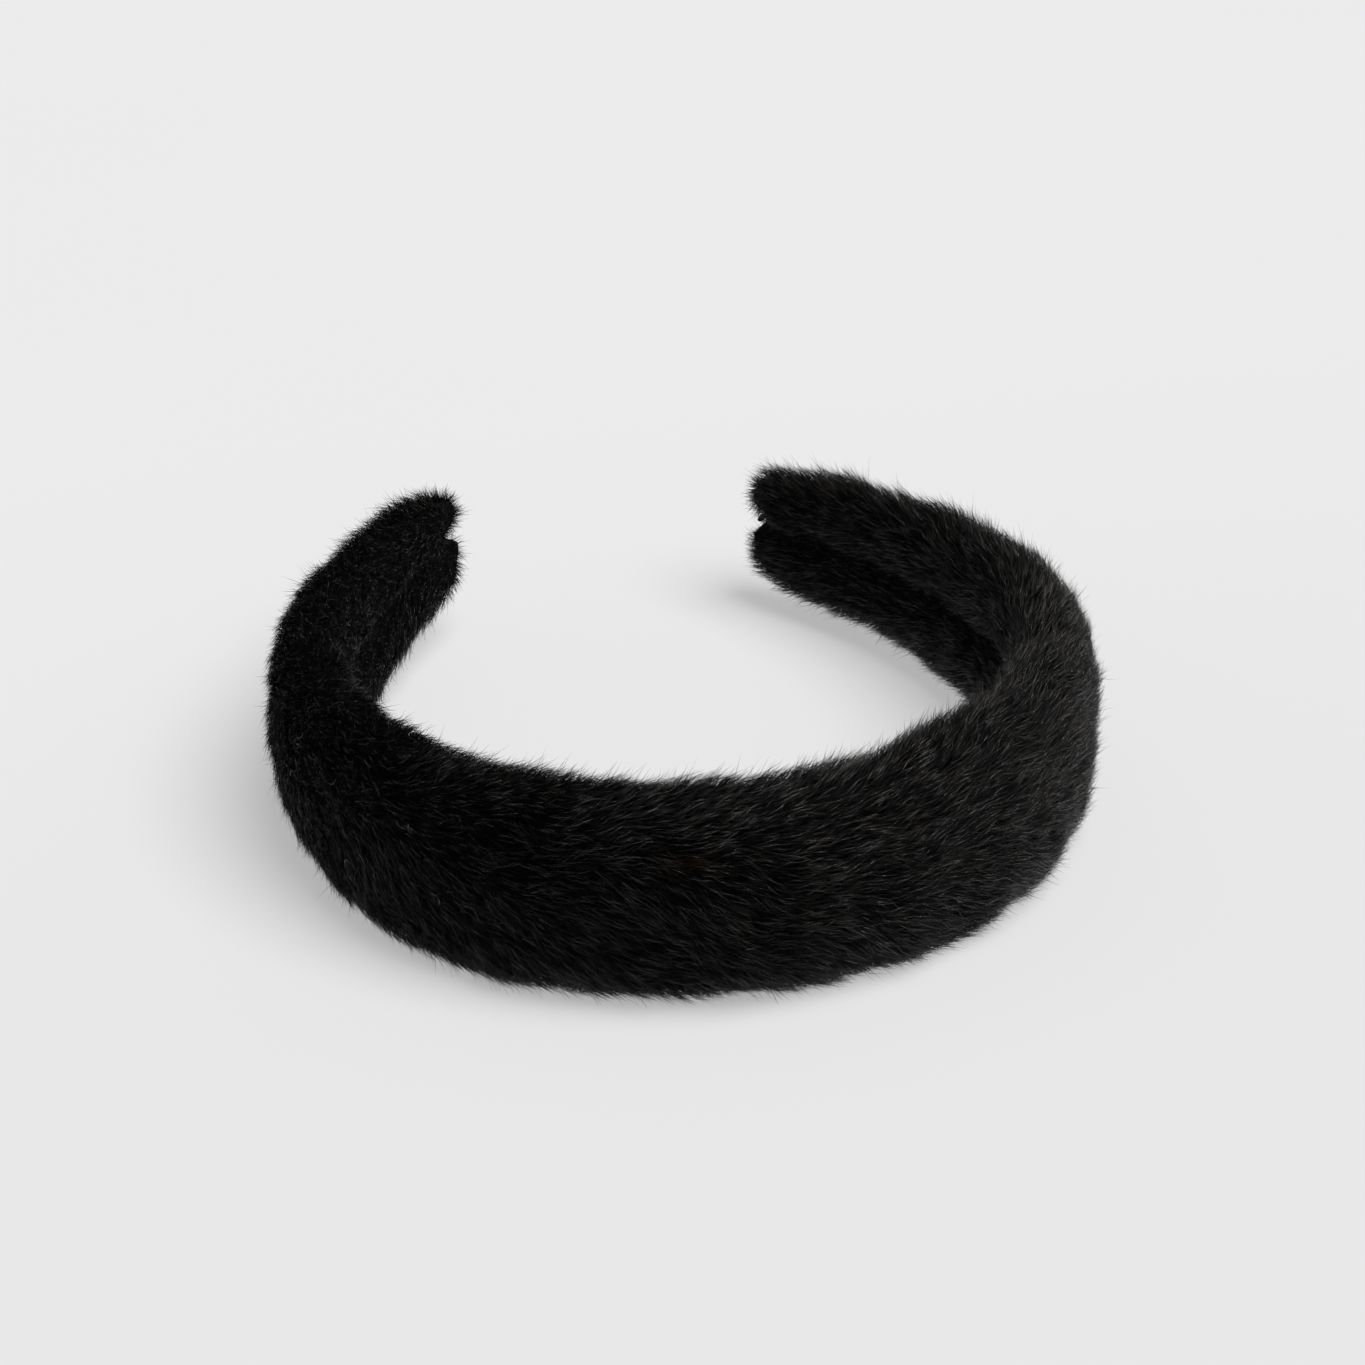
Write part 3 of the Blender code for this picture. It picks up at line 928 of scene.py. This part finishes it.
def fibre_piece(name, paths, radii, tone, look):
    """Closed three-sided fibres, each tapering through the points of its path to a sharp tip."""
    count, length, _ = paths.shape
    paths = paths.copy()
    paths[..., 2] = np.maximum(paths[..., 2], FLOOR_HEIGHT + radii[0])
    axis = unit(np.diff(paths, axis=1))
    side = unit(np.cross(RNG.normal(size=(count, 1, 3)), axis))
    third = np.cross(axis, side)
    corner = np.arange(3) * 2 * math.pi / 3
    width = np.array(radii)[None, :, None, None]
    spread = (
        side[:, :, None, :] * np.cos(corner)[None, None, :, None]
        + third[:, :, None, :] * np.sin(corner)[None, None, :, None]
    )
    rings = paths[:, :-1, None, :] + spread * width
    points = np.concatenate([rings.reshape(count, -1, 3), paths[:, -1:, :]], 1)
    each = points.shape[1]
    faces = [(0, 2, 1)]
    for ring in range(length - 2):
        low = ring * 3
        for i in range(3):
            j = (i + 1) % 3
            faces.append((low + i, low + j, low + 3 + j, low + 3 + i))
    last = (length - 2) * 3
    faces += [(last + i, last + (i + 1) % 3, each - 1) for i in range(3)]
    corners = np.concatenate([np.array(face) for face in faces])
    sizes = np.array([len(face) for face in faces])
    everywhere = (np.arange(count)[:, None] * each + corners[None, :]).ravel()
    totals = np.tile(sizes, count)
    starts = np.concatenate([[0], np.cumsum(totals)[:-1]])
    mesh = bpy.data.meshes.new(name)
    mesh.vertices.add(count * each)
    mesh.vertices.foreach_set("co", points.astype(np.float32).ravel())
    mesh.loops.add(len(everywhere))
    mesh.loops.foreach_set("vertex_index", everywhere.astype(np.int32))
    mesh.polygons.add(len(totals))
    mesh.polygons.foreach_set("loop_start", starts.astype(np.int32))
    mesh.polygons.foreach_set("loop_total", totals.astype(np.int32))
    mesh.update(calc_edges=True)
    reach = np.repeat(np.arange(length) / (length - 1), [3] * (length - 1) + [1])
    for label, values in (("tone", np.repeat(tone, each)), ("reach", np.tile(reach, count))):
        attribute = mesh.attributes.new(label, "FLOAT", "POINT")
        attribute.data.foreach_set("value", values.astype(np.float32))
    mesh.materials.append(look)
    mesh.shade_smooth()
    piece = bpy.data.objects.new(name, mesh)
    bpy.context.scene.collection.objects.link(piece)
    return piece


# ---------------------------------------------------------------- assembly

# Two distances from the middle of the crown, where the shoulder starts and ends.
BEND_START = 0.020
BEND_END = 0.080
SIDES = (("left", -1), ("right", 1))
PADDING_RINGS = 70
PADDING_END = CAVITY_END - 0.001
FOAM_AROUND = 40
CORE_AROUND = 32


def bend_with_arm(piece, side):
    """Bakes the piece's transform into its mesh."""
    start, _, _ = centre_line(side * BEND_START)
    end, _, _ = centre_line(side * BEND_END)
    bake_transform(piece)


def build_layers(looks):
    rings, distance = shaped_pelt(looks["pelt"])
    for word, side in SIDES:
        pelt = pelt_half(f"fur_cover_{word}_half", side, rings, distance, looks["pelt"])
        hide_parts(f"fur_cover_{word}_arm", "fur_cover_crown")
        bend_with_arm(pelt, side)
        build_foam(word, side, looks["foam"])
        build_core(word, side, looks["core"])
        build_thread(word, side, looks["thread"])
    return rings, distance


def build_foam(word, side, look):
    rings = swept(foam_section, side * np.linspace(0, PADDING_END, PADDING_RINGS), FOAM_AROUND)
    foam = solid_of_rings(f"foam_pad_{word}_half", rings, look)
    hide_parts(f"foam_pad_{word}_arm", "foam_pad_crown")
    bend_with_arm(foam, side)


# Ladder stitches along the crease: their pitch, their thread and how it lies.
STITCH_LENGTH = 0.005
THREAD_RADIUS = 0.00018
STITCH_RISE = 0.0007
THREAD_BELOW_CREASE = 0.0001
THREAD_DEPTH = INNER_DEPTH - INNER_PILE - CREASE_DEPTH - THREAD_BELOW_CREASE
SEAM_END = CAVITY_END - 0.004
POINTS_A_STITCH = 8
STITCH_SQUARENESS = 1.6


def build_thread(word, side, look):
    """The closing seam's thread: ladder stitches that cross the crease from fold to fold."""
    stitches = math.ceil(SEAM_END / STITCH_LENGTH)
    distance = side * np.linspace(0, SEAM_END, stitches * POINTS_A_STITCH + 1)
    wave = np.clip(STITCH_SQUARENESS * np.sin(distance / STITCH_LENGTH * math.pi), -1, 1)
    point, outward, _ = centre_line(distance)
    points = point - outward * THREAD_DEPTH
    points[:, 2] += STITCH_RISE * wave
    curve = bpy.data.curves.new(f"seam_thread_{word}_half", "CURVE")
    curve.dimensions = "3D"
    curve.bevel_depth = THREAD_RADIUS
    curve.bevel_resolution = 2
    curve.use_fill_caps = True
    line = curve.splines.new("POLY")
    line.points.add(len(points) - 1)
    line.points.foreach_set("co", np.c_[points, np.ones(len(points))].ravel())
    thread = bpy.data.objects.new(curve.name, curve)
    bpy.context.scene.collection.objects.link(thread)
    select_only(thread)
    bpy.ops.object.convert(target="MESH")
    thread.data.materials.clear()
    thread.data.materials.append(look)
    thread.data.shade_smooth()
    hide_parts(f"seam_thread_{word}_arm", "seam_thread_crown")
    bend_with_arm(thread, side)


def build_core(word, side, look):
    rings = swept(core_section, side * np.linspace(0, PADDING_END, PADDING_RINGS), CORE_AROUND)
    core = solid_of_rings(f"core_strip_{word}_half", rings, look)
    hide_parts(f"core_strip_{word}_arm", "core_strip_crown")
    bend_with_arm(core, side)


def build_pile(rings, distance, looks):
    for kind, count, paths_of, radii in (
        ("guard_hair", GUARD_COUNT, guard_paths, GUARD_RADII),
        ("sheen_hair", SHEEN_COUNT, sheen_paths, SHEEN_RADII),
        ("underfur", UNDER_COUNT, under_paths, (UNDER_RADIUS,)),
    ):
        roots = scattered_roots(rings, distance, count)
        paths, tones = paths_of(roots)
        for word, side in SIDES:
            here = np.flatnonzero(np.sign(roots["distance"] + 1e-9) == side)
            parts = math.ceil(len(here) / STRANDS_A_PIECE)
            for number, chosen in enumerate(np.array_split(here, parts), 1):
                name = f"{kind}_{word}_{number}"
                piece = fibre_piece(name, paths[chosen], radii, tones[chosen], looks[kind])
                bend_with_arm(piece, side)


LINT_COUNT = 11
LINT_POINTS = 8
LINT_LENGTH = 0.0034
LINT_RADIUS = 0.000055
LINT_START = -0.086
LINT_STOP = -0.034
# Roots to choose from, and how squarely they face the front or the top.
LINT_TRIES = 600
LINT_FRONT = 0.55
LINT_TOP = 0.75
LINT_HEIGHTS = (0.0022, 0.0027)
LINT_LENGTHS = (0.6, 1.1)
LINT_CURLS = (1.2, 4.2)
LINT_LIFT = 0.25
LINT_LIFT_STEP = 1.3


def build_lint(rings, distance, look):
    """A few pale curled fibres of lint, caught in the pile of the left front."""
    roots = scattered_roots(rings, distance, LINT_TRIES)
    near = (roots["distance"] > LINT_START) & (roots["distance"] < LINT_STOP)
    facing = (roots["around"][:, 2] > LINT_FRONT) | (roots["out"][:, 2] > LINT_TOP)
    chosen = np.flatnonzero(near & facing)[:LINT_COUNT]
    roots = {name: values[chosen] for name, values in roots.items()}
    count = len(chosen)
    turn = RNG.uniform(-math.pi, math.pi, count)
    curl = RNG.choice([-1, 1], count) * RNG.uniform(*LINT_CURLS, count) / (LINT_POINTS - 1)
    step = LINT_LENGTH * RNG.uniform(*LINT_LENGTHS, count) / (LINT_POINTS - 1)
    point = roots["point"] + roots["out"] * RNG.uniform(*LINT_HEIGHTS, count)[:, None]
    path = [point]
    for number in range(LINT_POINTS - 1):
        lift = np.full(count, LINT_LIFT * math.sin(number * LINT_LIFT_STEP))
        point = point + lean(roots, turn + curl * number, lift) * step[:, None]
        path.append(point)
    piece = fibre_piece("lint_left_1", np.stack(path, 1), (LINT_RADIUS,), np.ones(count), look)
    bend_with_arm(piece, -1)


# ---------------------------------------------------------------- floor, light and camera

FLOOR_SIZE = 12.0
FLOOR_GLOW = 0.44
# The floor glows a little more towards the back, between these two places on Y.
GLOW_FRONT = -0.06
GLOW_BACK = 0.16


def build_floor():
    bpy.ops.mesh.primitive_plane_add(size=FLOOR_SIZE, location=(0, 0, FLOOR_HEIGHT))
    floor = bpy.context.object
    floor.name = "studio_floor"
    look, nodes, links, shader = new_material("pale_paper")
    place = nodes.new("ShaderNodeTexCoord")
    noise = nodes.new("ShaderNodeTexNoise")
    noise.inputs["Scale"].default_value = 3.0
    links.new(place.outputs["Object"], noise.inputs["Vector"])
    tint = colour_ramp(nodes, links, noise.outputs["Fac"], FLOOR_STOPS)
    links.new(tint, shader.inputs["Base Color"])
    shader.inputs["Roughness"].default_value = 0.9
    shader.inputs["Specular IOR Level"].default_value = 0.1
    split = nodes.new("ShaderNodeSeparateXYZ")
    links.new(place.outputs["Object"], split.inputs["Vector"])
    away = nodes.new("ShaderNodeMapRange")
    away.inputs["From Min"].default_value = GLOW_FRONT
    away.inputs["From Max"].default_value = GLOW_BACK
    links.new(split.outputs["Y"], away.inputs["Value"])
    glow = colour_ramp(nodes, links, away.outputs["Result"], GLOW_STOPS)
    links.new(glow, shader.inputs["Emission Color"])
    shader.inputs["Emission Strength"].default_value = FLOOR_GLOW
    floor.data.materials.append(look)
    return floor


def studio_lamp(name, kind, power, place, target):
    """A lamp of this kind that stands at one point and faces another."""
    lamp = bpy.data.lights.new(name, kind)
    lamp.energy = power
    holder = bpy.data.objects.new(name, lamp)
    bpy.context.scene.collection.objects.link(holder)
    holder.location = place
    holder.rotation_euler = (Vector(target) - Vector(place)).to_track_quat("-Z", "Y").to_euler()
    return lamp


def disk_lamp(name, size, power, place, target):
    """A soft round area lamp of this diameter."""
    lamp = studio_lamp(name, "AREA", power, place, target)
    lamp.shape = "DISK"
    lamp.size = size


def link_light(name, floor, state):
    """Makes a light reach the floor alone (INCLUDE) or everything but the floor (EXCLUDE)."""
    group = bpy.data.collections.new(f"{name}_receivers")
    group.objects.link(floor)
    group.collection_objects[0].light_linking.link_state = state
    bpy.data.objects[name].light_linking.receiver_collection = group


ROOM_STRENGTH = 0.16
MIDDLE = (0, 0, 0.02)
# A disk lamp's diameter, power, place and target, and the floor's key without a diameter.
WINDOW = (0.9, 20.0, (1.20, -0.04, 1.05), MIDDLE)
CEILING = (0.8, 2.6, (0.22, 0.45, 0.85), MIDDLE)
FLOOR_KEY = (2.30, (0.573, -0.683, 1.677), (0, 0, 0))
FLOOR_KEY_ANGLE = math.radians(43)


def build_light(floor):
    """A dim room, a window and a ceiling panel for the fur, and a sky-wide key for the floor."""
    world = bpy.data.worlds.new("studio")
    world.use_nodes = True
    nodes = world.node_tree.nodes
    links = world.node_tree.links
    room = nodes["Background"]
    room.inputs["Color"].default_value = (0.93, 0.93, 0.935, 1)
    room.inputs["Strength"].default_value = ROOM_STRENGTH
    wall = nodes.new("ShaderNodeBackground")
    wall.inputs["Color"].default_value = (0.80, 0.80, 0.802, 1)
    seen = nodes.new("ShaderNodeLightPath")
    either = nodes.new("ShaderNodeMixShader")
    links.new(seen.outputs["Is Camera Ray"], either.inputs["Fac"])
    links.new(room.outputs["Background"], either.inputs[1])
    links.new(wall.outputs["Background"], either.inputs[2])
    links.new(either.outputs["Shader"], nodes["World Output"].inputs["Surface"])
    bpy.context.scene.world = world
    disk_lamp("window", *WINDOW)
    disk_lamp("ceiling", *CEILING)
    floor_key = studio_lamp("floor_key", "SUN", *FLOOR_KEY)
    floor_key.angle = FLOOR_KEY_ANGLE
    link_light("window", floor, "EXCLUDE")
    link_light("ceiling", floor, "EXCLUDE")
    link_light("floor_key", floor, "INCLUDE")
    bpy.context.scene.view_settings.view_transform = "Standard"


# The camera looks a little from the left, down at the band, framed by two small steps.
CAMERA_TURN = math.radians(13.43)
CAMERA_DROP = math.radians(29.64)
CAMERA_DISTANCE = 0.6068
CAMERA_LENS = 88.3
CAMERA_AIM_Y = 0.0024
CAMERA_SIDE_STEP = -0.000565
CAMERA_UP_STEP = -0.0027


def build_camera():
    forward = Vector(
        (
            math.cos(CAMERA_DROP) * math.sin(CAMERA_TURN),
            math.cos(CAMERA_DROP) * math.cos(CAMERA_TURN),
            -math.sin(CAMERA_DROP),
        )
    )
    right = Vector((math.cos(CAMERA_TURN), -math.sin(CAMERA_TURN), 0))
    up = right.cross(forward)
    aim = Vector((0, CAMERA_AIM_Y, MID_HEIGHT)) - right * CAMERA_SIDE_STEP - up * CAMERA_UP_STEP
    data = bpy.data.cameras.new("camera")
    data.lens = CAMERA_LENS
    data.sensor_width = 36
    data.clip_start = 0.01
    camera = bpy.data.objects.new("camera", data)
    bpy.context.scene.collection.objects.link(camera)
    camera.location = aim - forward * CAMERA_DISTANCE
    camera.rotation_euler = forward.to_track_quat("-Z", "Y").to_euler()
    bpy.context.scene.camera = camera


build_camera()
patches = mottle_group()
looks = {
    "guard_hair": fibre_look("black_fur_pile", patches, roughness=0.36, gloss=0.12),
    "sheen_hair": fibre_look("black_fur_sheen", patches, roughness=0.27, gloss=0.6),
    "underfur": fibre_look("black_underfur", patches, roughness=0.6, gloss=0.12),
    "pelt": pelt_look(patches),
    "foam": foam_look(),
    "core": core_look(patches),
    "thread": thread_look(),
}
pelt_surface, pelt_distance = build_layers(looks)
build_pile(pelt_surface, pelt_distance, looks)
build_lint(pelt_surface, pelt_distance, looks["guard_hair"])
for word, _ in SIDES:
    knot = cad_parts[f"tip_tack_{word}"]
    knot.data.materials.clear()
    knot.data.materials.append(looks["thread"])
build_light(build_floor())
